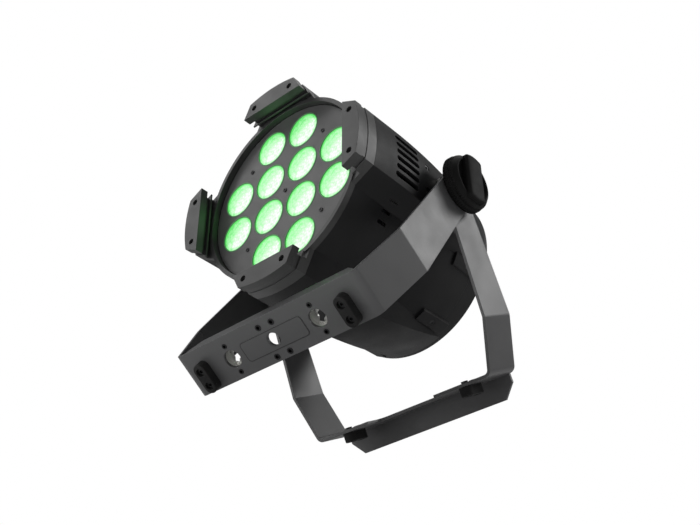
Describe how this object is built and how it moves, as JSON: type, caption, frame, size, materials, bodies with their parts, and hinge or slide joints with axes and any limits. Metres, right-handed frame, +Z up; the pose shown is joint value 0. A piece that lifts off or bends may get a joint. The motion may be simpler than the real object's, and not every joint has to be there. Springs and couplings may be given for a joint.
{
  "type": "par can light",
  "caption": "Black LED par can stage light with a round lens face, frame holders, a finned core, and a folding floor bracket with rubber feet and hand knobs.",
  "frame": {"origin": "bottom centre of the standing light's bounding box, on the floor", "axes": "+X along the tilt axis towards the light's right-hand knob as seen facing the lenses, -Y towards the audience (the light shines that way, 2.5 degrees up), +Z up"},
  "size_m": [0.3042, 0.2602, 0.3099],
  "materials": {
    "black_paint": "fine textured black powder coat",
    "cast_black": "cast aluminium under a black textured powder coat",
    "supply_case": "plain sheet aluminium case",
    "bezel_plastic": "fine satin black",
    "face_black": "satin dark grey-black",
    "lens": "clear moulded lens, lit green-white",
    "black_steel": "blackened steel",
    "inner_plastic": "plain black",
    "board_green": "solder mask",
    "led_emitter": "phosphor face",
    "bare_aluminium": "as extruded",
    "zinc_steel": "zinc plated",
    "panel_paint": "smooth satin black",
    "window": "dark tinted",
    "socket_plastic": "moulded black",
    "rubber": "matt black",
    "knob_plastic": "glass-filled black"
  },
  "bodies": {
    "front_yoke": {"front_bracket": "black_paint", "quarter_turn_clips": "zinc_steel", "base_rivets": "black_steel", "rating_label": "panel_paint", "front_feet": "rubber", "front_foot_screws": "black_steel", "arm_spacers": "inner_plastic"},
    "head": {"front_bezel": "bezel_plastic", "frame_holder_top": "bezel_plastic", "frame_holder_right": "bezel_plastic", "frame_holder_bottom": "bezel_plastic", "frame_holder_left": "bezel_plastic", "holder_screws": "black_steel", "face_plate": "face_black", "face_screws": "black_steel", "lens_01": "lens", "lens_02": "lens", "lens_03": "lens", "lens_04": "lens", "lens_05": "lens", "lens_06": "lens", "lens_07": "lens", "lens_08": "lens", "lens_09": "lens", "lens_10": "lens", "lens_11": "lens", "lens_12": "lens", "lens_tray": "inner_plastic", "led_board": "board_green", "led_chips": "led_emitter", "heat_sink": "bare_aluminium", "main_housing": "cast_black", "rear_cap": "cast_black", "control_panel": "panel_paint", "housing_screws": "black_steel", "display_window": "window", "power_inlet": "socket_plastic", "power_outlet": "socket_plastic", "data_input": "socket_plastic", "data_output": "socket_plastic", "fuse_holder": "socket_plastic", "safety_eye": "zinc_steel", "fan_frame": "inner_plastic", "inner_chassis": "zinc_steel", "power_supply": "supply_case", "driver_board": "board_green", "pivot_inserts": "zinc_steel", "friction_discs": "inner_plastic"},
    "rear_yoke": {"rear_bracket": "black_paint", "rear_feet": "rubber", "rear_foot_screws": "black_steel"},
    "right_knob": {"knob_right": "knob_plastic", "knob_stud_right": "zinc_steel"},
    "left_knob": {"knob_left": "knob_plastic", "knob_stud_left": "zinc_steel"},
    "fan": {"fan_rotor": "inner_plastic"},
    "button_1": {"menu_button_1": "socket_plastic"},
    "button_2": {"menu_button_2": "socket_plastic"},
    "button_3": {"menu_button_3": "socket_plastic"},
    "button_4": {"menu_button_4": "socket_plastic"}
  },
  "joints": [
    {"name": "head_tilt", "type": "hinge", "parent": "front_yoke", "child": "head", "pos_m": [0, 0.01149, 0.18616], "axis": [1, 0, 0], "range_deg": [-115, 115]},
    {"name": "rear_yoke_swing", "type": "hinge", "parent": "front_yoke", "child": "rear_yoke", "pos_m": [0, 0.01149, 0.18616], "axis": [1, 0, 0], "range_deg": [-54, 26]},
    {"name": "right_knob_turn", "type": "hinge", "parent": "head", "child": "right_knob", "pos_m": [0, 0.01149, 0.18616], "axis": [1, 0, 0], "range_deg": [0, 270]},
    {"name": "left_knob_turn", "type": "hinge", "parent": "head", "child": "left_knob", "pos_m": [0, 0.01149, 0.18616], "axis": [-1, 0, 0], "range_deg": [0, 270]},
    {"name": "fan_spin", "type": "hinge", "parent": "head", "child": "fan", "pos_m": [0, -0.01349, 0.18725], "axis": [0, 0.999, -0.0436], "continuous": true},
    {"name": "button_1_press", "type": "slide", "parent": "head", "child": "button_1", "axis": [0, -0.999, 0.0436], "range_m": [0, 0.0008], "stiffness_N_per_m": 900},
    {"name": "button_2_press", "type": "slide", "parent": "head", "child": "button_2", "axis": [0, -0.999, 0.0436], "range_m": [0, 0.0008], "stiffness_N_per_m": 900},
    {"name": "button_3_press", "type": "slide", "parent": "head", "child": "button_3", "axis": [0, -0.999, 0.0436], "range_m": [0, 0.0008], "stiffness_N_per_m": 900},
    {"name": "button_4_press", "type": "slide", "parent": "head", "child": "button_4", "axis": [0, -0.999, 0.0436], "range_m": [0, 0.0008], "stiffness_N_per_m": 900}
  ]
}
